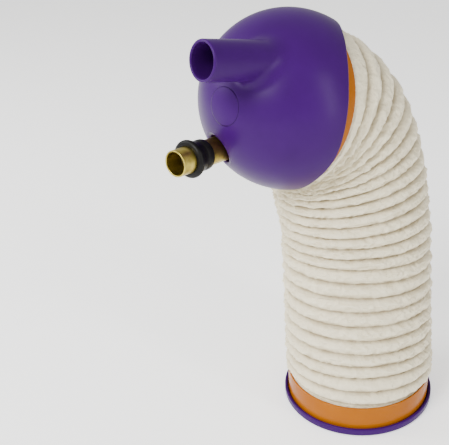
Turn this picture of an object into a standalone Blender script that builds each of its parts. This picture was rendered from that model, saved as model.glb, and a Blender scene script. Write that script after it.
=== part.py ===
# Collapsible bellows chamber: a short collar standing in a shallow base cap, a wire-ribbed
# film duct that stretches and bends, and a ball-shaped head with a neck and a socket that
# holds a brass tube in a rubber bung.  Metres, +Z up, origin at the centre of the base.
#
# Every moving piece is drawn upright, in the frame of the body it belongs to, and hangs on
# that body's empty.  The empties are set one on the next: folded flat, each stands one
# closed pitch above the last, and at rest each joint has stretched or bent from there.
import math

import bmesh
import bpy
from mathutils import Matrix, Vector

MM = 0.001
GAP = 0.3 * MM                 # clearance between pieces that touch
CLOSED_PITCH = 3.2 * MM        # two turns of the folded duct

# base
CAP_RADIUS = 55.0 * MM
CAP_LIP = 5.2 * MM
CAP_FLOOR = 2.6 * MM
CAP_WALL = 2.0 * MM
COLLAR_RADIUS = 52.3 * MM
COLLAR_WALL = 1.6 * MM
COLLAR_TOP = 21.6 * MM

# duct: two turns of the wire to a segment, from the base collar to the head ring
CREST_RADIUS = 51.2 * MM
VALLEY_RADIUS = 48.6 * MM
FILM = 0.6 * MM
WIRE_RADIUS = 0.8 * MM
WIRE_RING = VALLEY_RADIUS - FILM - GAP - WIRE_RADIUS - 0.4 * MM
SEGMENT_LENGTHS = [n * MM for n in (14.0, 17.4, 20.2, 20.2, 20.2, 18.0, 18.0, 18.0, 18.0, 19.0, 20.8, 20.8)]
LEAN = math.radians(9.5)        # the lowest segment leans to one side
LEAN_TURN = math.radians(60.0)  # of the plane of the bend: from +Y towards -X
BEND = [math.radians(a) for a in (5.6, 4.0, 4.2, 7.6, 14.4, 20.4, 20.8)]

# head, measured from the ball's centre along the head's own axis
BALL_RADIUS = 56.0 * MM
SHELL_WALL = 1.8 * MM
BALL_ABOVE_RING = 5.0 * MM
SKIRT_START = -12.0 * MM
SKIRT_RADIUS = 55.0 * MM
SKIRT_END = -18.0 * MM          # level on the far side
SKIRT_CUTS = (                  # height on the axis, slopes along X and Y
    (-13.5 * MM, 0.36, -0.08),  # rises on the near side
    (-28.0 * MM, 0.0, -0.45),   # clears the duct on the inside of its bend
)
HEAD_RING_RADIUS = 52.0 * MM
HEAD_RING_WALL = 1.5 * MM
HEAD_RING_HEIGHT = 14.0 * MM
CROWN_TILT = math.radians(7.0)  # the ball is set a little further over than its ring
NECK_AT = (20.6 * MM, 24.9 * MM)
NECK_RADIUS = 11.4 * MM
NECK_WALL = 1.8 * MM
NECK_TOP = 81.0 * MM
SOCKET_AT = (-11.2 * MM, -27.8 * MM)
SOCKET_AXIS = (0.16, -0.143, 1.0)
SOCKET_RADIUS = 9.0 * MM
SOCKET_WALL = 2.0 * MM
SOCKET_DEPTH = 22.0 * MM

# brass tube and rubber bung, along the socket's axis from the ball's surface
TUBE_RADIUS = 7.9 * MM
TUBE_WALL = 1.0 * MM
TUBE_IN = -20.0 * MM
TUBE_OUT = 33.0 * MM
GAUZE_AT = 20.0 * MM
BUNG_START = 9.0 * MM
BUNG_LENGTH = 14.5 * MM
BUNG_SMALL = 9.0 * MM
BUNG_FLANGE = 11.2 * MM


def clear_scene():
    for item in list(bpy.data.objects):
        bpy.data.objects.remove(item, do_unlink=True)


def make_collection(name):
    collection = bpy.data.collections.new(name)
    bpy.context.scene.collection.children.link(collection)
    return collection


def make_material(name, colour, roughness, metallic=0.0):
    material = bpy.data.materials.new(name)
    material.use_nodes = True
    shader = material.node_tree.nodes["Principled BSDF"]
    shader.inputs["Base Color"].default_value = (*colour, 1.0)
    shader.inputs["Roughness"].default_value = roughness
    shader.inputs["Metallic"].default_value = metallic
    return material


def place(item, empty, local=None):
    item.parent = empty
    item.matrix_local = local or Matrix.Identity(4)


def add_object(name, mesh, material, collection, empty, local=None):
    item = bpy.data.objects.new(name, mesh)
    if material:
        mesh.materials.append(material)
    collection.objects.link(item)
    place(item, empty, local)
    return item


def turned(name, outline, material, collection, empty, local=None, steps=48, closed=True):
    """A turned piece. The outline holds (radius, height) points down its outer side; a closed
    one comes back up the inner side, an open one starts and ends on the axis."""
    mesh = bpy.data.meshes.new(name)
    count = len(outline)
    edges = [(i, i + 1) for i in range(count - 1)]
    if closed:
        edges.append((count - 1, 0))
    mesh.from_pydata([(r, 0.0, z) for r, z in outline], edges, [])
    item = add_object(name, mesh, material, collection, empty, local)
    screw = item.modifiers.new("Turn", "SCREW")
    screw.steps = steps
    screw.render_steps = steps
    screw.use_merge_vertices = True
    screw.merge_threshold = 0.00001
    screw.use_smooth_shade = True
    return item


def tube_outline(outer, inner, top, bottom):
    return [(outer, top), (outer, bottom), (inner, bottom), (inner, top)]


def cut(item, cutter, operation="DIFFERENCE"):
    boolean = item.modifiers.new(operation.title(), "BOOLEAN")
    boolean.operation = operation
    boolean.solver = "EXACT"
    boolean.object = cutter


def hide_cutter(item):
    item.hide_render = True
    item.display_type = "WIRE"


def shift(x=0.0, y=0.0, z=0.0):
    return Matrix.Translation((x, y, z))


def turn_about(point, axis, angle):
    to_point = Matrix.Translation(point)
    return to_point @ Matrix.Rotation(angle, 4, axis) @ to_point.inverted()


class Segment:
    """One stretch of duct between two bodies: how it bends at rest, and its joint."""

    def __init__(self, length, angle=0.0, axis=(1.0, 0.0, 0.0)):
        self.length = length
        self.angle = angle
        self.axis = Vector(axis)
        self.inner = self.axis.cross(Vector((0.0, 0.0, 1.0)))

    def at(self, fraction):
        """The frame part of the way up the segment at rest, along a circular arc."""
        if self.angle == 0.0:
            return shift(z=self.length * fraction)
        centre = self.inner * (self.length / self.angle)
        return turn_about(centre, self.axis, self.angle * fraction)

    def pivot(self):
        """The point about which one turn takes the segment from folded flat to its bend."""
        half = self.angle / 2.0
        reach = self.length / self.angle - CLOSED_PITCH / 2.0 / math.tan(half)
        return self.inner * reach + Vector((0.0, 0.0, CLOSED_PITCH / 2.0))

    def stretch(self):
        return self.length - CLOSED_PITCH


def duct_segments():
    lean_axis = (math.cos(LEAN_TURN), math.sin(LEAN_TURN), 0.0)
    segments = [Segment(SEGMENT_LENGTHS[0], LEAN, [-v for v in lean_axis])]
    straight = len(SEGMENT_LENGTHS) - 1 - len(BEND)
    segments += [Segment(length) for length in SEGMENT_LENGTHS[1:1 + straight]]
    segments += [Segment(n, a) for n, a in zip(SEGMENT_LENGTHS[1 + straight:], BEND)]
    return segments


def body_frames(segments):
    """The rest frame of each body, from the base's duct end to the head's."""
    frames = [shift(z=COLLAR_TOP + GAP)]
    for segment in segments:
        frames.append(frames[-1] @ segment.at(1.0))
    return frames


def make_empties(frames, collection):
    empties = []
    for i, frame in enumerate(frames):
        empty = bpy.data.objects.new(f"at_{i:02d}", None)
        empty.empty_display_size = 0.01
        collection.objects.link(empty)
        empty.matrix_world = frame
        empties.append(empty)
    return empties


def base_parts(collection, empty, materials):
    cap = [
        (CAP_RADIUS - 1.0 * MM, CAP_LIP),
        (CAP_RADIUS, CAP_LIP - 0.8 * MM),
        (CAP_RADIUS, 0.8 * MM),
        (CAP_RADIUS - 0.8 * MM, 0.0),
        (0.0, 0.0),
    ]
    inside = [(0.0, CAP_FLOOR), (CAP_RADIUS - CAP_WALL, CAP_FLOOR), (CAP_RADIUS - CAP_WALL, CAP_LIP)]
    turned("base_cap", inside + cap, materials["purple"], collection, empty, steps=64, closed=False)

    foot = CAP_FLOOR + GAP
    inner = COLLAR_RADIUS - COLLAR_WALL
    collar = [
        (COLLAR_RADIUS - 0.5 * MM, COLLAR_TOP),
        (COLLAR_RADIUS, COLLAR_TOP - 0.6 * MM),
        (COLLAR_RADIUS, foot),
        (inner, foot),
        (inner, COLLAR_TOP),
    ]
    turned("base_ring", collar, materials["orange"], collection, empty, steps=64)

    bead = [(inner - GAP, foot + 2.2 * MM), (inner - GAP, foot), (inner - 2.6 * MM, foot)]
    turned("base_seal", bead, materials["seal"], collection, empty, steps=48)

    cuff = tube_outline(inner - 0.4 * MM, inner - 0.9 * MM, COLLAR_TOP, 8.0 * MM)
    turned("base_cuff", cuff, materials["film"], collection, empty, steps=48)


def bellows_mesh(name, segment, sides=24):
    """Two bulging folds of film between two wire rings. Rings of points follow the
    segment's arc up the outside and down the inside, and each is joined to the next."""
    margin = 0.25 * MM / segment.length
    shoulder = 0.11
    crest, valley = CREST_RADIUS, VALLEY_RADIUS
    outside = [(margin, valley), (shoulder, crest), (0.5 - shoulder, crest), (0.5, valley)]
    outside += [(0.5 + shoulder, crest), (1.0 - shoulder, crest), (1.0 - margin, valley)]
    folds = [1.0 - margin, 0.75, 0.5, 0.25, margin]
    inside = [(t, (crest if i % 2 else valley) - FILM) for i, t in enumerate(folds)]
    mesh = bmesh.new()
    rings = []
    for fraction, radius in outside + inside:
        frame = segment.at(fraction)
        ring = []
        for k in range(sides):
            angle = 2.0 * math.pi * k / sides
            point = Vector((radius * math.cos(angle), radius * math.sin(angle), 0.0))
            ring.append(mesh.verts.new(frame @ point))
        rings.append(ring)
    for lower, upper in zip(rings, rings[1:] + rings[:1]):
        for k in range(sides):
            j = (k + 1) % sides
            mesh.faces.new((lower[k], lower[j], upper[j], upper[k]))
    data = bpy.data.meshes.new(name)
    mesh.to_mesh(data)
    mesh.free()
    return data


def duct_parts(collection, empties, segments, materials):
    for i, segment in enumerate(segments):
        name = f"film_fold_{i + 1:02d}"
        mesh = bellows_mesh(name, segment)
        add_object(name, mesh, materials["film"], collection, empties[i])
    half = WIRE_RADIUS
    corners = [(WIRE_RING, half), (WIRE_RING + half, 0.0), (WIRE_RING, -half), (WIRE_RING - half, 0.0)]
    first = turned("wire_turn_01", corners, materials["steel"], collection, empties[1], steps=24)
    wire = first.data
    for i in range(2, len(segments)):
        item = bpy.data.objects.new(f"wire_turn_{i:02d}", wire)
        collection.objects.link(item)
        place(item, empties[i])
        screw = item.modifiers.new("Turn", "SCREW")
        screw.steps = first.modifiers["Turn"].steps
        screw.render_steps = screw.steps
        screw.use_merge_vertices = True
        screw.merge_threshold = 0.00001
        screw.use_smooth_shade = True


def ball_outline(radius, skirt_radius, skirt_bottom, arc_steps=12):
    """Half the outline of a ball, from its top pole down past its middle, then straight
    down as a skirt to a flat end on the axis."""
    low = math.asin(SKIRT_START / BALL_RADIUS)
    points = []
    for i in range(arc_steps + 1):
        angle = math.pi / 2.0 + (low - math.pi / 2.0) * i / arc_steps
        points.append((max(radius * math.cos(angle), 0.0), radius * math.sin(angle)))
    points[0] = (0.0, radius)
    return points + [(skirt_radius, skirt_bottom), (0.0, skirt_bottom)]


def crown_frame():
    """At the ball's centre, with Z along the neck."""
    return shift(z=BALL_ABOVE_RING) @ Matrix.Rotation(CROWN_TILT, 4, "X")


def socket_frame():
    """At the ball's surface on the drooping side, with Z out along the socket."""
    x, y = SOCKET_AT
    height = math.sqrt(BALL_RADIUS ** 2 - x ** 2 - y ** 2)
    out = Vector(SOCKET_AXIS).to_track_quat("Z", "Y").to_matrix().to_4x4()
    return crown_frame() @ shift(x, y, height) @ out


def head_shell(collection, cutters, empty, materials):
    centre = shift(z=BALL_ABOVE_RING)
    neck_axis = crown_frame() @ shift(*NECK_AT)
    socket = socket_frame()

    outer = ball_outline(BALL_RADIUS, SKIRT_RADIUS, SKIRT_END)
    shell = turned("head_shell", outer, materials["purple"], collection, empty, centre, 48, False)

    neck_outline = [(0.0, NECK_TOP), (NECK_RADIUS, NECK_TOP), (NECK_RADIUS, 28.0 * MM), (0.0, 28.0 * MM)]
    neck = turned("cut_neck", neck_outline, None, cutters, empty, neck_axis, 36, False)
    hide_cutter(neck)
    cut(shell, neck, "UNION")

    inner = ball_outline(BALL_RADIUS - SHELL_WALL, SKIRT_RADIUS - SHELL_WALL, -60.0 * MM)
    hollow = turned("cut_hollow", inner, None, cutters, empty, centre, 48, False)
    boss_outline = [
        (0.0, 20.0 * MM),
        (SOCKET_RADIUS + SOCKET_WALL, 20.0 * MM),
        (SOCKET_RADIUS + SOCKET_WALL, -SOCKET_DEPTH),
        (0.0, -SOCKET_DEPTH),
    ]
    boss = turned("cut_boss", boss_outline, None, cutters, empty, socket, 32, False)
    cut(hollow, boss)
    cut(shell, hollow)

    bores = (
        ("cut_neck_bore", NECK_RADIUS - NECK_WALL, NECK_TOP + 5.0 * MM, 20.0 * MM, neck_axis),
        ("cut_socket_bore", SOCKET_RADIUS, 30.0 * MM, -SOCKET_DEPTH - 6.0 * MM, socket),
    )
    for name, radius, top, bottom, frame in bores:
        outline = [(0.0, top), (radius, top), (radius, bottom), (0.0, bottom)]
        bore = turned(name, outline, None, cutters, empty, frame, 32, False)
        hide_cutter(bore)
        cut(shell, bore)

    for i, (height, along_x, along_y) in enumerate(SKIRT_CUTS):
        trim = bpy.data.meshes.new(f"cut_skirt_{i + 1}")
        box = bmesh.new()
        bmesh.ops.create_cube(box, size=0.2)
        box.to_mesh(trim)
        box.free()
        up = Vector((-along_x, -along_y, 1.0)).to_track_quat("Z", "Y").to_matrix().to_4x4()
        local = shift(z=BALL_ABOVE_RING + height) @ up @ shift(z=-0.1)
        trim_box = add_object(trim.name, trim, None, cutters, empty, local)
        hide_cutter(trim_box)
        cut(shell, trim_box)
    for item in (hollow, boss):
        hide_cutter(item)


def head_parts(collection, cutters, empty, materials):
    head_shell(collection, cutters, empty, materials)
    inner = HEAD_RING_RADIUS - HEAD_RING_WALL
    low = GAP
    top = low + HEAD_RING_HEIGHT
    ring = [
        (HEAD_RING_RADIUS, top),
        (HEAD_RING_RADIUS, low + 0.5 * MM),
        (HEAD_RING_RADIUS - 0.5 * MM, low),
        (inner, low),
        (inner, top),
    ]
    turned("head_ring", ring, materials["orange"], collection, empty, steps=64)
    bead = [(HEAD_RING_RADIUS, top + 2.3 * MM), (HEAD_RING_RADIUS, top + GAP), (inner, top + GAP)]
    turned("head_seal", bead, materials["seal"], collection, empty, steps=48)
    cuff = tube_outline(inner - 0.4 * MM, inner - 0.9 * MM, 11.0 * MM, GAP)
    turned("head_cuff", cuff, materials["film"], collection, empty, steps=48)


def tube_and_bung(collection, empty, materials):
    frame = socket_frame()
    inner = TUBE_RADIUS - TUBE_WALL
    tube = [
        (TUBE_RADIUS - 0.3 * MM, TUBE_OUT),
        (TUBE_RADIUS, TUBE_OUT - 0.4 * MM),
        (TUBE_RADIUS, TUBE_IN),
        (inner, TUBE_IN),
        (inner, TUBE_OUT),
    ]
    turned("brass_tube", tube, materials["brass"], collection, empty, frame, 32)

    dish = [
        (0.0, GAUZE_AT),
        (3.4 * MM, GAUZE_AT + 0.4 * MM),
        (inner - GAP, GAUZE_AT + 1.9 * MM),
        (inner - GAP, GAUZE_AT + 1.4 * MM),
        (3.4 * MM, GAUZE_AT - 0.1 * MM),
        (0.0, GAUZE_AT - 0.5 * MM),
    ]
    turned("tube_gauze", dish, materials["steel"], collection, empty, frame, 24, False)

    bore = TUBE_RADIUS + GAP
    end = BUNG_START + BUNG_LENGTH
    bung = [
        (BUNG_FLANGE - 1.2 * MM, end),
        (BUNG_FLANGE, end - 1.2 * MM),
        (BUNG_FLANGE - 0.3 * MM, end - 3.4 * MM),
        (10.0 * MM, end - 5.6 * MM),
        (9.3 * MM, end - 8.8 * MM),
        (BUNG_SMALL, BUNG_START + 0.5 * MM),
        (BUNG_SMALL - 0.5 * MM, BUNG_START),
        (bore, BUNG_START),
        (bore, end),
    ]
    turned("rubber_bung", bung, materials["rubber"], collection, empty, frame, 32)


def main():
    clear_scene()
    parts = make_collection("bellows_chamber")
    cutters = make_collection("cutters")
    guides = make_collection("frames")
    materials = {
        "purple": make_material("purple_plastic", (0.075, 0.018, 0.235), 0.35),
        "orange": make_material("orange_plastic", (0.72, 0.22, 0.004), 0.3),
        "film": make_material("duct_film", (0.74, 0.68, 0.56), 0.6),
        "steel": make_material("spring_steel", (0.5, 0.5, 0.52), 0.35, 1.0),
        "seal": make_material("seal_bead", (0.6, 0.58, 0.54), 0.7),
        "brass": make_material("brass", (0.6, 0.42, 0.12), 0.3, 1.0),
        "rubber": make_material("black_rubber", (0.012, 0.012, 0.014), 0.5),
    }
    segments = duct_segments()
    frames = body_frames(segments)
    empties = make_empties(frames, guides)
    ground = make_empties([Matrix.Identity(4)], guides)[0]
    base_parts(parts, ground, materials)
    duct_parts(parts, empties, segments, materials)
    head_parts(parts, cutters, empties[-1], materials)
    tube_and_bung(parts, empties[-1], materials)


main()
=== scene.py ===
import math

import bpy
import numpy as np
from mathutils import Matrix


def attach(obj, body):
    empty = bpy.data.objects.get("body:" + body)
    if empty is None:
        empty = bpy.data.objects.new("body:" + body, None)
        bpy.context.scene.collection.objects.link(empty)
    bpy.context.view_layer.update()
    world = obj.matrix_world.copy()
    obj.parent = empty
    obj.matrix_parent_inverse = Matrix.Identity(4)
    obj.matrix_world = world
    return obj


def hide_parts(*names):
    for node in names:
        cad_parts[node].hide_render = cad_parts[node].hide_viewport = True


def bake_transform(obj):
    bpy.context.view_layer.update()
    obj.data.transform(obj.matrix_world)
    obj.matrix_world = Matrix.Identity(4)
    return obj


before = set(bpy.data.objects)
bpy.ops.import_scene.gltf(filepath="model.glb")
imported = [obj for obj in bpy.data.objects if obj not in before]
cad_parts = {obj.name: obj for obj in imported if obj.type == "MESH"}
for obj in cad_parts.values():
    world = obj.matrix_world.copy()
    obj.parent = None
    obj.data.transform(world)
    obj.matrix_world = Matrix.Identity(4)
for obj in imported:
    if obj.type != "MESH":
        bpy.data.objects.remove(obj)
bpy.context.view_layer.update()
print("frame loaded")

mm = 0.001

# sizes in millimetres and angles in degrees, as the solids have them or a little off where the
# finished surface sits better
base = {"capRadius": 54.5, "capLip": 5.2, "capFloor": 2.6, "capWall": 2.0,
        "collarRadius": 51.7, "collarWall": 1.1, "collarTop": 21.6}
duct = {"lengths": [14.0, 17.4, 20.2, 20.2, 20.2, 18.0, 18.0, 18.0, 18.0, 19.0, 20.8, 20.8],
        "bends": [5.6, 4.0, 4.2, 7.6, 14.4, 20.4, 20.8], "lean": 9.5, "leanTurn": 60.0,
        "crest": 52.5, "valley": 48.9, "footSwell": 1.3, "film": 0.35,
        "around": 400, "along": 62, "crinkle": 1.15, "turnsPerSegment": 2, "tuckedIn": 2.0, "cuff": 9.0,
        # each set of folds: cells round, spacing along, lean, weight, seed
        "folds": ((52, 6.0, 1.1, 0.8, 11), (74, 4.4, -1.0, 0.7, 12),
                  (130, 2.6, 0.5, 0.55, 13), (34, 2.2, 0.0, 0.7, 14))}
head = {"radius": 55.5, "shift": (0.1, 1.0, 1.2), "wall": 1.8, "aboveRing": 5.0,
        "skirtStart": -12.0, "crownTilt": 7.0,
        "neckAt": (20.6, 24.9), "neckRadius": 11.4, "neckTop": 81.8, "fillet": 13.0,
        "ringRadius": 52.0, "ringWall": 1.5, "ringHeight": 14.0, "ringTilt": -0.026,
        "discAt": (5.0, -1.5), "discRadius": 11.2,
        # the slanted rim: compass angle in degrees, height from the ball's centre
        "rim": ((-180, -18), (-135, -12), (-90, -4.5), (-55, 1.0), (-42, 1.5), (-30, 2.1),
                (-15, 4.7), (-4, 5.9), (11, 6.5), (20, 6.0), (32, 4.0), (48, -1.5),
                (64, -9.5), (80, -13.0), (100, -16.0), (135, -18.0), (180, -18))}
socket = {"onRadius": 56.0, "at": (-11.2, -27.8), "axis": (0.16, -0.143, 1.0), "radius": 9.0,
          "lip": 3.0, "sleeve": 1.8, "depth": 22.0}
tube = {"radius": 7.9, "wall": 1.0, "inside": -20.0, "outside": 33.0}
bung = {"start": 9.0, "length": 14.5, "small": 9.0, "flange": 11.4}


def moved(x=0.0, y=0.0, z=0.0):
    # A shift by x, y and z.
    matrix = np.eye(4)
    matrix[:3, 3] = (x, y, z)
    return matrix


def turned(axis, angle):
    # One plus sine times the axis cross matrix, plus one less cosine times its square.
    x, y, z = np.asarray(axis, float) / np.linalg.norm(axis)
    cross = np.array([[0, -z, y], [z, 0, -x], [-y, x, 0]])
    matrix = np.eye(4)
    matrix[:3, :3] += math.sin(angle) * cross + (1 - math.cos(angle)) * cross @ cross
    return matrix


def facing(direction):
    # The shortest turn that takes +Z to a direction.
    direction = np.asarray(direction, float) / np.linalg.norm(direction)
    axis = np.cross((0, 0, 1), direction)
    return turned(axis, math.asin(np.linalg.norm(axis)))


def arcFrame(length, angle, axis, fraction):
    # The frame part of the way along an arc: a turn about the arc's centre, which lies on the
    # inside at length over angle. With no angle it is a straight move.
    if angle == 0.0:
        return moved(z=length * fraction)
    inner = np.cross(axis, (0, 0, 1)) * length / angle
    return moved(*inner) @ turned(axis, angle * fraction) @ moved(*-inner)


leanTurn = math.radians(duct["leanTurn"])
leanAxis = (-math.cos(leanTurn), -math.sin(leanTurn), 0.0)
bends = [math.radians(a) for a in [duct["lean"], 0.0, 0.0, 0.0, 0.0] + duct["bends"]]
axes = [leanAxis] + [(1.0, 0.0, 0.0)] * (len(bends) - 1)
frames = [moved(z=base["collarTop"] + 0.3)]
for length, angle, axis in zip(duct["lengths"], bends, axes):
    frames.append(frames[-1] @ arcFrame(length, angle, axis, 1.0))
ballFrame = frames[-1] @ moved(z=head["aboveRing"])
crownFrame = ballFrame @ turned((1, 0, 0), math.radians(head["crownTilt"]))
shellFrame = moved(*head["shift"]) @ ballFrame
socketX, socketY = socket["at"]
socketHeight = math.sqrt(socket["onRadius"] ** 2 - socketX ** 2 - socketY ** 2)
socketFrame = crownFrame @ moved(socketX, socketY, socketHeight) @ facing(socket["axis"])


def meshObject(name, points, quads):
    # One mesh from whole arrays: points in millimetres, quads as rows of four indices.
    mesh = bpy.data.meshes.new(name)
    mesh.vertices.add(len(points))
    mesh.vertices.foreach_set("co", (np.asarray(points, float) * mm).ravel())
    mesh.loops.add(quads.size)
    mesh.loops.foreach_set("vertex_index", quads.ravel().astype(np.int32))
    mesh.polygons.add(len(quads))
    mesh.polygons.foreach_set("loop_start", np.arange(0, quads.size, 4, dtype=np.int32))
    mesh.update(calc_edges=True)
    mesh.polygons.foreach_set("use_smooth", np.full(len(quads), True))
    mesh.validate()
    item = bpy.data.objects.new(name, mesh)
    bpy.context.scene.collection.objects.link(item)
    return item


def gridQuads(rows, columns):
    # Four corners of each cell of a grid that wraps round both its columns and its rows.
    row = np.arange(rows)[:, None]
    column = np.arange(columns)[None, :]
    nextRow = (row + 1) % rows
    nextColumn = (column + 1) % columns
    corners = (row * columns + column, row * columns + nextColumn,
               nextRow * columns + nextColumn, nextRow * columns + column)
    return np.stack(np.broadcast_arrays(*corners), axis=-1).reshape(-1, 4)


def placed(points, matrix):
    # Rows of points turned and shifted by a matrix.
    return points @ matrix[:3, :3].T + matrix[:3, 3]


def rounded(outline, radii, steps=5):
    # An outline with its corners rounded: each corner's radius is cut back to fit.
    corners = np.asarray(outline, float)
    result = []
    for i, (corner, radius) in enumerate(zip(corners, radii)):
        before = corners[i - 1] - corner
        after = corners[(i + 1) % len(corners)] - corner
        reach = min(np.linalg.norm(before), np.linalg.norm(after)) * 0.49
        radius = min(radius, reach)
        if radius <= 0.0:
            result.append(corner)
            continue
        p = corner + before / np.linalg.norm(before) * radius
        q = corner + after / np.linalg.norm(after) * radius
        for t in np.linspace(0.0, 1.0, steps):
            result.append((1 - t) ** 2 * p + 2 * t * (1 - t) * corner + t ** 2 * q)
    return np.array(result)


def turnedPiece(name, outline, matrix, steps):
    # A closed outline of (radius, height) turned about Z. It runs down its outer side.
    outline = np.asarray(outline, float)
    angle = np.linspace(0.0, 2 * math.pi, steps, endpoint=False)[None, :]
    radius = outline[:, 0][:, None]
    points = np.stack([radius * np.cos(angle), radius * np.sin(angle),
                       np.broadcast_to(outline[:, 1][:, None], (len(outline), steps))], axis=-1)
    quads = gridQuads(len(outline), steps)
    return meshObject(name, placed(points.reshape(-1, 3), matrix), quads[:, ::-1])


def latticeNoise(around, along, cells, spacing, seed):
    # Smooth noise from -1 to 1. around runs 0 to 1 and wraps; along is in millimetres.
    random = np.random.default_rng(seed)
    lattice = random.uniform(-1.0, 1.0, (cells, 400))
    u = (around % 1.0) * cells
    v = along / spacing + 40.0
    i = np.floor(u).astype(int)
    j = np.floor(v).astype(int)
    fu = u - i
    fv = v - j
    fu = fu * fu * (3 - 2 * fu)
    fv = fv * fv * (3 - 2 * fv)
    low = lattice[i % cells, j % 400] * (1 - fu) + lattice[(i + 1) % cells, j % 400] * fu
    high = lattice[i % cells, (j + 1) % 400] * (1 - fu) + lattice[(i + 1) % cells, (j + 1) % 400] * fu
    return low * (1 - fv) + high * fv


def material(name, colour, roughness, metallic=0.0, **values):
    # A plain Principled finish, with any other socket by its name.
    made = bpy.data.materials.new(name)
    made.use_nodes = True
    shader = made.node_tree.nodes["Principled BSDF"]
    shader.inputs["Base Color"].default_value = (*colour, 1.0)
    shader.inputs["Roughness"].default_value = roughness
    shader.inputs["Metallic"].default_value = metallic
    for key, value in values.items():
        shader.inputs[key].default_value = value
    return made


def addNoise(made, scale, detail, kind="ShaderNodeTexNoise"):
    # A texture on the object's own coordinates.
    nodes, links = made.node_tree.nodes, made.node_tree.links
    place = nodes.new("ShaderNodeTexCoord")
    noise = nodes.new(kind)
    noise.inputs["Scale"].default_value = scale
    if "Detail" in noise.inputs:
        noise.inputs["Detail"].default_value = detail
    links.new(place.outputs["Object"], noise.inputs["Vector"])
    return noise


def addBump(made, height, strength, distance, previous=None):
    # A bump from a height, laid over an earlier bump if there is one.
    nodes, links = made.node_tree.nodes, made.node_tree.links
    bump = nodes.new("ShaderNodeBump")
    bump.inputs["Strength"].default_value = strength
    bump.inputs["Distance"].default_value = distance
    links.new(height, bump.inputs["Height"])
    if previous:
        links.new(previous.outputs["Normal"], bump.inputs["Normal"])
    links.new(bump.outputs["Normal"], nodes["Principled BSDF"].inputs["Normal"])
    return bump


def addRamp(made, value, stops):
    # The colour from a value, by stops of position and colour.
    nodes, links = made.node_tree.nodes, made.node_tree.links
    ramp = nodes.new("ShaderNodeValToRGB")
    while len(ramp.color_ramp.elements) < len(stops):
        ramp.color_ramp.elements.new(0.5)
    for element, (position, colour) in zip(ramp.color_ramp.elements, stops):
        element.position = position
        element.color = (*colour, 1.0)
    links.new(value, ramp.inputs["Fac"])
    links.new(ramp.outputs["Color"], nodes["Principled BSDF"].inputs["Base Color"])
    return ramp


purple = material("purplePlastic", (0.030, 0.0018, 0.078), 0.34, **{"Specular IOR Level": 0.1})
orange = material("orangePlastic", (0.29, 0.082, 0.0), 0.22, **{"Specular IOR Level": 0.1})
film = material("ductFilm", (0.74, 0.68, 0.54), 0.44, **{"Specular IOR Level": 0.4})
brass = material("brass", (0.62, 0.44, 0.14), 0.34, 1.0)
rubber = material("blackRubber", (0.004, 0.0035, 0.0035), 0.42, **{"Specular IOR Level": 0.12})
steel = material("springSteel", (0.5, 0.5, 0.52), 0.35, 1.0)
seal = material("sealBead", (0.55, 0.52, 0.46), 0.7)
gauze = material("tubeGauze", (0.10, 0.075, 0.03), 0.5, 0.8)

print("materials made")
collarIn = base["collarRadius"] - base["collarWall"]


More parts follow.
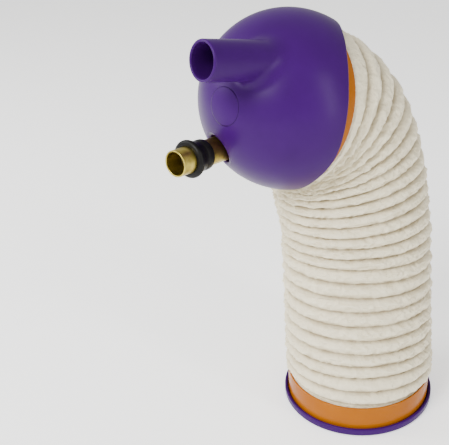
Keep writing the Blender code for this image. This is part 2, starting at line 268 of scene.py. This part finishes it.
def filmPiece(index):
    # Outer and inner skins of one segment on a grid of angle round it and length along it.
    # radius = valley + swell at the foot + (crest - valley) x bulge + crumples, where the
    # bulge is a sine of how far the point is between two creases of the wire's spiral.
    length, angle, axis = duct["lengths"][index], bends[index], np.asarray(axes[index])
    around, along = duct["around"], duct["along"]
    theta = np.linspace(0.0, 1.0, around, endpoint=False)[None, :]
    tucked = duct["tuckedIn"] / length
    first, last = index == 0, index == len(bends) - 1
    fraction = np.linspace(-tucked if first else 0.0, 1.0 + tucked if last else 1.0, along)[:, None]
    total = sum(duct["lengths"])
    travelled = sum(duct["lengths"][:index]) + fraction * length
    turns = duct["turnsPerSegment"]
    wander = 0.05 * latticeNoise(theta, travelled, 9, 23.0, 5)
    phase = (index + fraction) * turns + theta + wander
    within = phase - np.floor(phase)
    # the bulge between two creases: steep at the wire, nearly flat across the middle
    bulge = np.abs(np.sin(math.pi * within)) ** 0.8
    # creasing fades out in the plain cuff at the head
    cuff = np.clip((travelled - (total - duct["cuff"])) / 4.0, 0.0, 1.0)
    bulge = bulge * (1 - cuff) + 0.92 * cuff
    # a bent segment gathers the film on its inside
    inward = np.cross(axis, (0, 0, 1))
    side = np.cos(2 * math.pi * theta - math.atan2(inward[1], inward[0]))
    gathered = 0.5 + 0.5 * side * np.clip(angle / 0.3, 0.0, 1.0)
    folds = 0.0
    for cells, spacing, skew, weight, seed in duct["folds"]:
        slide = theta + skew * travelled / (2 * math.pi * duct["crest"])
        ridge = 0.6 - 2.0 * np.abs(latticeNoise(slide, travelled, cells, spacing, seed))
        folds = folds + weight * ridge
    crumple = duct["crinkle"] * (0.35 + 0.9 * gathered ** 1.5) * folds * (0.25 + 0.75 * (1 - cuff))  # mm
    fine = 0.10 * latticeNoise(theta, travelled, 260, 1.1, 21)
    swellFade = np.exp(-np.abs(travelled) / 38.0)
    swell = duct["footSwell"] * swellFade * np.clip(travelled / 5.0, 0.0, 1.0)
    depth = duct["crest"] - duct["valley"]
    radius = duct["valley"] + swell + depth * bulge + (crumple + fine) * (0.35 + 0.65 * bulge)
    # the first fold goes down inside the collar and the last one up inside the head ring
    free = np.clip(travelled / 2.2, 0.0, 1.0) * np.clip((total + 0.5 - travelled) / 2.0, 0.0, 1.0)
    radius = radius * free + (collarIn - 0.5) * (1 - free)
    inside = radius - duct["film"]
    angleRound = 2 * math.pi * theta
    # each ring stands square to the segment's arc
    if angle == 0.0:
        centre = np.zeros((along, 3)) + np.array([0.0, 0.0, 1.0]) * fraction * length
        squareTo = np.zeros((along, 3, 3)) + np.eye(3)
    else:
        steps = [arcFrame(length, angle, axis, f) for f in fraction[:, 0]]
        centre = np.array([s[:3, 3] for s in steps])
        squareTo = np.array([s[:3, :3] for s in steps])
    skins = []
    for shell in (radius, inside):
        ring = np.stack([shell * np.cos(angleRound), shell * np.sin(angleRound), shell * 0], axis=-1)
        skins.append(np.einsum("aij,abj->abi", squareTo, ring) + centre[:, None, :])
    grid = np.concatenate([skins[0], skins[1][::-1]], axis=0)
    name = f"filmFold{index + 1:02d}"
    quads = gridQuads(2 * along, around)
    item = meshObject(name, placed(grid.reshape(-1, 3), frames[index]), quads)
    # how deep each point lies in its crease: painted shade that darkens the film in its creases and crumple
    # valleys
    paintedCreaseShade = np.clip(1.0 - bulge, 0.0, 1.0) * 0.8 + 0.2 * np.clip(0.5 - crumple, 0.0, 1.0)
    attribute = item.data.attributes.new("crease", "FLOAT", "POINT")
    bothSkins = np.concatenate([paintedCreaseShade, paintedCreaseShade[::-1]])
    attribute.data.foreach_set("value", bothSkins.ravel().astype(np.float32))
    item.data.materials.append(film)
    return item


# painted shade: the crease value darkens the film's cream towards brown deep in its creases and crumple
# valleys
attributeNode = film.node_tree.nodes.new("ShaderNodeAttribute")
attributeNode.attribute_name = "crease"
addRamp(film, attributeNode.outputs["Fac"], ((0.0, (0.76, 0.69, 0.50)), (0.4, (0.68, 0.60, 0.42)),
                                            (0.95, (0.30, 0.24, 0.14))))
facets = addNoise(film, 230.0, 2.0, "ShaderNodeTexVoronoi")
crumpled = addBump(film, facets.outputs["Distance"], 0.55, 0.0011)
addBump(film, addNoise(film, 340.0, 6.0).outputs[0], 0.8, 0.0011, crumpled)

for index in range(len(bends)):
    piece = filmPiece(index)
    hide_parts(f"film_fold_{index + 1:02d}")
    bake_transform(piece)
print("duct film made")


def headShell():
    # A grid of rays from the neck's mouth: down the neck, then along great circles of the ball
    # to the rim. The path is averaged over a window that is widest where the neck meets the
    # ball, and the inner skin is the outer one moved in by the wall along its normals.
    columns = 400
    radiusOut = head["radius"]
    neckX, neckY = head["neckAt"]
    neckZ = math.sqrt(radiusOut ** 2 - neckX ** 2 - neckY ** 2)
    pole = np.array([neckX, neckY, neckZ]) / radiusOut
    phi = np.linspace(0.0, 2 * math.pi, columns, endpoint=False)
    reach = head["neckRadius"]
    # where the neck's side meets the ball, seen from the neck's axis
    meet = np.stack([neckX + reach * np.cos(phi), neckY + reach * np.sin(phi), phi * 0], axis=-1)
    meet[:, 2] = np.sqrt(radiusOut ** 2 - meet[:, 0] ** 2 - meet[:, 1] ** 2)
    unit = meet / radiusOut
    across = unit - (unit @ pole)[:, None] * pole
    across /= np.linalg.norm(across, axis=1)[:, None]
    startAngle = np.arccos(np.clip(unit @ pole, -1, 1))
    # the crown frame's ball turned into the ring frame, where the rim and the skirt are cut
    tilt = turned((1, 0, 0), math.radians(head["crownTilt"]))[:3, :3]

    def onBall(angles):
        # Points of the shell at angles from the pole: a ball that runs straight below.
        direction = np.cos(angles)[..., None] * pole + np.sin(angles)[..., None] * across[:, None, :]
        local = direction @ tilt.T
        polar = np.arccos(np.clip(local[..., 2], -1, 1))
        turn = np.arctan2(local[..., 1], local[..., 0])
        bottom = math.acos(head["skirtStart"] / radiusOut)
        over = np.maximum(polar - bottom, 0.0) * radiusOut
        ballPolar = np.minimum(polar, bottom)
        outward = radiusOut * np.sin(ballPolar) + 0.25 * (1 - np.exp(-over / 6.0))
        height = radiusOut * np.cos(ballPolar) - over
        return np.stack([outward * np.cos(turn), outward * np.sin(turn), height], axis=-1)

    # the rim's height by compass angle in the ring frame, smooth and closed
    table = np.linspace(-math.pi, math.pi, 721)
    compass, heights = np.array(head["rim"], float).T
    rimTable = np.interp(table, np.radians(compass), heights)
    soft = np.hanning(31) / np.hanning(31).sum()
    wrapped = np.concatenate([rimTable[-31:-1], rimTable, rimTable[1:31]])
    rimTable = np.convolve(wrapped, soft, mode="same")[30:-30]

    fine = np.linspace(0.0, math.pi * 0.97, 1600)
    swept = onBall(startAngle[:, None] + fine[None, :])
    rimHere = np.interp(np.arctan2(swept[..., 1], swept[..., 0]), table, rimTable)
    below = swept[..., 2] < rimHere
    crossing = np.argmax(below, axis=1)
    endAngle = startAngle + fine[crossing]

    # the neck comes down to the ball, the ball runs on from there, and the corner is softened
    neckTop = head["neckTop"]
    neckSteps, ballSteps = 170, 420
    neckLength = neckTop - meet[:, 2]
    side = np.linspace(0.0, 1.0, neckSteps, endpoint=False)[None, :]
    neckPath = np.stack([np.broadcast_to(meet[:, 0, None], (columns, neckSteps)),
                         np.broadcast_to(meet[:, 1, None], (columns, neckSteps)),
                         neckTop - neckLength[:, None] * side], axis=-1) @ tilt.T
    run = np.linspace(0.0, 1.0, ballSteps)[None, :]
    ballPath = onBall(startAngle[:, None] + (endAngle - startAngle)[:, None] * run)
    path = np.concatenate([neckPath, ballPath], axis=1)
    stride = np.linalg.norm(np.diff(path, axis=1), axis=2)
    arc = np.concatenate([np.zeros((columns, 1)), np.cumsum(stride, axis=1)], axis=1)
    corner = arc[:, neckSteps]
    # even spacing along each ray, finer near the corner
    samples = np.concatenate([np.linspace(0, 1, 46, endpoint=False) ** 0.9, 1 + np.linspace(0, 1, 130)])
    along = np.where(samples[None, :] <= 1, samples[None, :] * corner[:, None],
                     corner[:, None] + (samples[None, :] - 1) ** 1.12 * (arc[:, -1] - corner)[:, None])

    def at(distance):
        index = np.stack([np.interp(d, row, np.arange(row.size)) for d, row in zip(distance, arc)])
        low = np.clip(np.floor(index).astype(int), 0, path.shape[1] - 2)
        part = (index - low)[..., None]
        rows = np.arange(columns)[:, None]
        return path[rows, low] * (1 - part) + path[rows, low + 1] * part

    # softening: an average over a window that is widest at the corner
    window = head["fillet"] * np.exp(-((along - corner[:, None]) / (head["fillet"] * 1.15)) ** 2)
    window = np.minimum(window, np.minimum(along, arc[:, -1:] - along))
    offsets = np.linspace(-1, 1, 17)
    weights = 0.5 * (1 + np.cos(math.pi * offsets))
    weights /= weights.sum()
    outer = sum(w * at(along + o * window) for o, w in zip(offsets, weights))

    downRay = np.gradient(outer, axis=1)
    roundRay = np.roll(outer, -1, axis=0) - np.roll(outer, 1, axis=0)
    normal = np.cross(roundRay, downRay)
    normal /= np.linalg.norm(normal, axis=2)[..., None]
    ballPart = slice(60, None)
    if np.mean(np.sum(normal[:, ballPart] * outer[:, ballPart], axis=2)) < 0:
        normal = -normal
    wall = head["wall"]
    inner = outer - normal * wall
    # rounded ends: half a circle from the outer skin to the inner one
    bend = np.linspace(0, math.pi, 8)[1:-1]

    def rounding(edge, tangent, normalHere):
        centre = edge - normalHere * wall / 2
        return [centre + wall / 2 * (np.cos(b) * normalHere + np.sin(b) * tangent) for b in bend]

    endTangent = downRay[:, -1] / np.linalg.norm(downRay[:, -1], axis=1)[:, None]
    topTangent = -downRay[:, 0] / np.linalg.norm(downRay[:, 0], axis=1)[:, None]
    rimRings = np.stack(rounding(outer[:, -1], endTangent, normal[:, -1]), axis=1)
    lipRings = np.stack(rounding(outer[:, 0], topTangent, normal[:, 0]), axis=1)[:, ::-1]
    thin = np.unique(np.concatenate([np.arange(0, outer.shape[1], 3), [outer.shape[1] - 1]]))
    grid = np.concatenate([outer, rimRings, inner[:, thin][:, ::-1], lipRings], axis=1)
    rows = grid.shape[1]
    points = placed(grid.transpose(1, 0, 2).reshape(-1, 3), shellFrame)
    return meshObject("headShell", points, gridQuads(rows, columns))


shell = headShell()
shell.data.materials.append(purple)
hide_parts("head_shell")
print("head shell made")


def socketLip():
    # Rings round the socket's axis: a quarter turn from the ball's skin in to the bore, where
    # the height is the ball's own height at that radius less the drop of the lip, then the
    # sleeve down inside and back up under the skin.
    steps = 160
    angle = np.linspace(0, 2 * math.pi, steps, endpoint=False)
    bore, wide = socket["radius"], socket["radius"] + socket["lip"]
    inverse = np.linalg.inv(socketFrame) @ shellFrame
    ballCentre = inverse[:3, 3]

    def ballHeight(radius):
        x, y = radius * np.cos(angle), radius * np.sin(angle)
        flat = head["radius"] ** 2 - (x - ballCentre[0]) ** 2 - (y - ballCentre[1]) ** 2
        return ballCentre[2] + np.sqrt(flat)

    rings = []
    edgeHeight = ballHeight(wide)
    for t in np.linspace(0, 1, 14):
        # from the ball's skin in to the bore, turning down on an even curve
        radius = wide - (wide - bore) * math.sin(t * math.pi / 2)
        drop = socket["lip"] * 0.9 * (1 - math.cos(t * math.pi / 2))
        height = ballHeight(radius) - drop + 0.02 * (1 - t)
        rings.append((radius, height))
    sleeve, below = bore + socket["sleeve"], np.full(steps, -socket["depth"])
    rings.append((bore, below))
    rings.append((sleeve, below))
    rings.append((sleeve, ballHeight(sleeve) - 4.5))
    rings.append((wide, edgeHeight - 1.5))
    points = np.concatenate([np.stack([radius * np.cos(angle), radius * np.sin(angle), height],
                                      axis=-1) for radius, height in rings])
    return meshObject("socketLip", placed(points, socketFrame), gridQuads(len(rings), steps))


lip = socketLip()
lip.data.materials.append(purple)
lip.parent = shell
cutRadius, cutReach, axisRadius = socket["radius"] + socket["lip"] - 0.15, 12.0, 0.01
cutter = turnedPiece("socketCutter", [(axisRadius, cutReach), (cutRadius, cutReach),
                                      (cutRadius, -cutReach), (axisRadius, -cutReach)],
                     socketFrame, 96)
boolean = shell.modifiers.new("socketHole", "BOOLEAN")
boolean.operation = "DIFFERENCE"
boolean.solver = "EXACT"
boolean.object = cutter
bpy.context.view_layer.update()
evaluated = shell.evaluated_get(bpy.context.evaluated_depsgraph_get())
holed = bpy.data.meshes.new_from_object(evaluated)
shell.modifiers.clear()
shell.data = holed
bpy.data.objects.remove(cutter, do_unlink=True)
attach(shell, "head")
print("socket cut")

# the plain round disc on the crown, a shallow groove drawn by the finish
nodes, links = purple.node_tree.nodes, purple.node_tree.links
crown = shellFrame @ turned((1, 0, 0), math.radians(head["crownTilt"]))
discCentre = placed(np.array([[*head["discAt"], head["radius"] * 0.998]]), crown)[0] * mm
coordinates = nodes.new("ShaderNodeTexCoord")
distance = nodes.new("ShaderNodeVectorMath")
distance.operation = "DISTANCE"
distance.inputs[1].default_value = tuple(discCentre)
links.new(coordinates.outputs["Object"], distance.inputs[0])
groove = nodes.new("ShaderNodeMapRange")
groove.interpolation_type = "SMOOTHSTEP"
grooveHalf = 0.35
groove.inputs["From Min"].default_value = (head["discRadius"] - grooveHalf) * mm
groove.inputs["From Max"].default_value = (head["discRadius"] + grooveHalf) * mm
groove.inputs["To Min"].default_value = 1.0
groove.inputs["To Max"].default_value = 0.0
links.new(distance.outputs["Value"], groove.inputs["Value"])
discBump = addBump(purple, groove.outputs["Result"], 1.0, 0.0007)
addRamp(purple, addNoise(purple, 28.0, 3.0).outputs[0],
        ((0.3, (0.027, 0.0015, 0.070)), (0.7, (0.033, 0.0021, 0.086))))
mould = addNoise(purple, 60.0, 2.0)
addBump(purple, mould.outputs[0], 0.10, 0.0012, discBump)


def addPiece(name, outline, radii, matrix, made, node, body, steps):
    # A rounded outline carried round its axis, finished, and riding on its body.
    item = turnedPiece(name, rounded(outline, radii), matrix, steps)
    item.data.materials.append(made)
    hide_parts(node)
    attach(item, body)
    return item


ground = moved()
foot = base["capFloor"] + 0.3
addPiece("baseCap",
         [(0.01, base["capFloor"]), (base["capRadius"] - base["capWall"], base["capFloor"]),
          (base["capRadius"] - base["capWall"], base["capLip"]), (base["capRadius"], base["capLip"]),
          (base["capRadius"], 0.0), (0.01, 0.0)],
         [0, 0.5, 0.7, 0.8, 1.2, 0], ground, purple, "base_cap", "base", 256)
addPiece("baseRing",
         [(base["collarRadius"], base["collarTop"]), (base["collarRadius"], foot), (collarIn, foot),
          (collarIn, base["collarTop"])],
         [0.8, 0.3, 0.3, 0.5], ground, orange, "base_ring", "base", 256)
ringIn = head["ringRadius"] - head["ringWall"]
addPiece("headRing",
         [(head["ringRadius"], 0.3 + head["ringHeight"]), (head["ringRadius"], 0.3), (ringIn, 0.3),
          (ringIn, 0.3 + head["ringHeight"])],
         [0.4, 0.8, 0.4, 0.4], frames[-1] @ turned((1, 0, 0), head["ringTilt"]), orange,
         "head_ring", "head", 256)
tubeIn = tube["radius"] - tube["wall"]
addPiece("brassTube",
         [(tube["radius"], tube["outside"]), (tube["radius"], tube["inside"]), (tubeIn, tube["inside"]),
          (tubeIn, tube["outside"])],
         [0.35, 0.3, 0.3, 0.5], socketFrame, brass, "brass_tube", "tube", 160)
end = bung["start"] + bung["length"]
addPiece("rubberBung",
         [(bung["flange"] - 1.6, end), (bung["flange"] - 0.2, end - 0.9), (bung["flange"], end - 2.6),
          (bung["flange"] - 1.0, end - 4.4), (9.6, end - 6.4), (bung["small"] - 0.1, end - 8.6),
          (bung["small"] + 0.35, bung["start"] + 4.0), (bung["small"] + 0.2, bung["start"] + 0.8),
          (bung["small"] - 0.5, bung["start"]), (tube["radius"] + 0.05, bung["start"]),
          (tube["radius"] + 0.05, end)],
         [1.2, 1.2, 1.4, 2.0, 2.4, 2.4, 1.2, 0.5, 0.4, 0.2, 0.4], socketFrame, rubber, "rubber_bung",
         "bung", 160)
print("hard pieces made")

# the solids that stay as they are, finished
for name, made in (("base_seal", seal), ("base_cuff", film), ("head_seal", seal), ("head_cuff", film),
                   ("tube_gauze", gauze)):
    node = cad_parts[name]
    node.data.materials.clear()
    node.data.materials.append(made)
for name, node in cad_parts.items():
    if name.startswith("wire_turn"):
        node.data.materials.clear()
        node.data.materials.append(steel)

# brass: lathe marks round its length and a patchy tarnish
lathe = brass.node_tree.nodes.new("ShaderNodeTexWave")
place = brass.node_tree.nodes.new("ShaderNodeTexCoord")
mapping = brass.node_tree.nodes.new("ShaderNodeMapping")
inverse = np.linalg.inv(socketFrame[:3, :3])
angles = np.array([math.atan2(inverse[2, 1], inverse[2, 2]), -math.asin(inverse[2, 0]),
                   math.atan2(inverse[1, 0], inverse[0, 0])])
mapping.inputs["Rotation"].default_value = tuple(angles)
lathe.bands_direction = "Z"
lathe.inputs["Scale"].default_value = 260.0
lathe.inputs["Distortion"].default_value = 1.2
brass.node_tree.links.new(place.outputs["Object"], mapping.inputs["Vector"])
brass.node_tree.links.new(mapping.outputs["Vector"], lathe.inputs["Vector"])
addBump(brass, lathe.outputs[0], 0.12, 0.0002)
addRamp(brass, addNoise(brass, 130.0, 5.0).outputs[0],
        ((0.3, (0.24, 0.19, 0.035)), (0.52, (0.44, 0.35, 0.07)), (0.78, (0.62, 0.50, 0.13))))
addBump(steel, addNoise(steel, 700.0, 2.0).outputs[0], 0.2, 0.0002)
addRamp(seal, addNoise(seal, 300.0, 3.0).outputs[0], ((0.3, (0.46, 0.42, 0.35)), (0.7, (0.60, 0.57, 0.50))))
addBump(gauze, addNoise(gauze, 900.0, 1.0, "ShaderNodeTexVoronoi").outputs["Distance"], 0.8, 0.0004)
addRamp(orange, addNoise(orange, 40.0, 3.0).outputs[0],
        ((0.3, (0.27, 0.074, 0.0)), (0.7, (0.31, 0.090, 0.0))))
addRamp(rubber, addNoise(rubber, 180.0, 4.0).outputs[0],
        ((0.3, (0.003, 0.0028, 0.0028)), (0.7, (0.007, 0.0065, 0.006))))
addBump(orange, addNoise(orange, 220.0, 2.0).outputs[0], 0.08, 0.0005)
addBump(rubber, addNoise(rubber, 500.0, 3.0).outputs[0], 0.15, 0.0004)


studio = {"aim": (0.0, -0.02, 0.16), "floorHalf": 40.0, "floorHeight": -0.0005, "floorGlow": 0.7,
          "sky": (1.0, 0.995, 0.98, 1.0), "skyStrength": 0.75,
          # where each light stands, its width and height in metres, and its power in watts
          "lights": {"key": ((0.10, -1.25, 1.15), (0.6, 0.6), 34.0),
                     "left": ((-0.85, -0.65, 0.8), (0.5, 0.9), 11.0),
                     "strip": ((1.1, 0.15, 0.55), (0.15, 1.0), 7.0)},
          "eye": (0.32130, -0.37300, 0.38782), "forward": (-0.6388, 0.6216, -0.45349),
          "sensor": 36.0, "lens": 65.22, "shift": (-0.168, 0.001)}


def areaLight(name, at, size, power):
    # A rectangle of light whose Z axis points from the object's middle to the light.
    data = bpy.data.lights.new(name, "AREA")
    data.shape = "RECTANGLE"
    data.size, data.size_y = size
    data.energy = power
    light = bpy.data.objects.new(name, data)
    bpy.context.scene.collection.objects.link(light)
    z = np.asarray(at) - np.asarray(studio["aim"])
    z /= np.linalg.norm(z)
    x = np.cross((0, 0, 1), z)
    x /= np.linalg.norm(x)
    matrix = np.eye(4)
    matrix[:3, 0], matrix[:3, 1], matrix[:3, 2], matrix[:3, 3] = x, np.cross(z, x), z, at
    light.matrix_world = Matrix(matrix.tolist())
    return light


floorMesh = bpy.data.meshes.new("floor")
floorHalf, floorHeight = studio["floorHalf"], studio["floorHeight"]
floorMesh.from_pydata([(-floorHalf, -floorHalf, floorHeight), (floorHalf, -floorHalf, floorHeight),
                       (floorHalf, floorHalf, floorHeight), (-floorHalf, floorHalf, floorHeight)],
                      [], [(0, 1, 2, 3)])
floor = bpy.data.objects.new("floor", floorMesh)
bpy.context.scene.collection.objects.link(floor)
white = material("floorWhite", (0.93, 0.93, 0.925), 0.7,
                 **{"Emission Color": (1.0, 1.0, 1.0, 1.0), "Emission Strength": studio["floorGlow"]})
floorMesh.materials.append(white)

world = bpy.data.worlds.new("studio")
world.use_nodes = True
background = world.node_tree.nodes["Background"]
background.inputs["Color"].default_value = studio["sky"]
background.inputs["Strength"].default_value = studio["skyStrength"]
bpy.context.scene.world = world

for name, (at, size, power) in studio["lights"].items():
    areaLight(name, at, size, power)

camera = bpy.data.cameras.new("camera")
camera.sensor_width = studio["sensor"]
camera.lens = studio["lens"]
camera.shift_x, camera.shift_y = studio["shift"]
camera.clip_start = 0.01
eye = bpy.data.objects.new("camera", camera)
bpy.context.scene.collection.objects.link(eye)
forward = np.array(studio["forward"])
forward /= np.linalg.norm(forward)
right = np.cross(forward, (0, 0, 1))
right /= np.linalg.norm(right)
view = np.eye(4)
view[:3, 0], view[:3, 1], view[:3, 2] = right, np.cross(right, forward), -forward
view[:3, 3] = studio["eye"]
eye.matrix_world = Matrix(view.tolist())
bpy.context.scene.camera = eye
print("studio set")
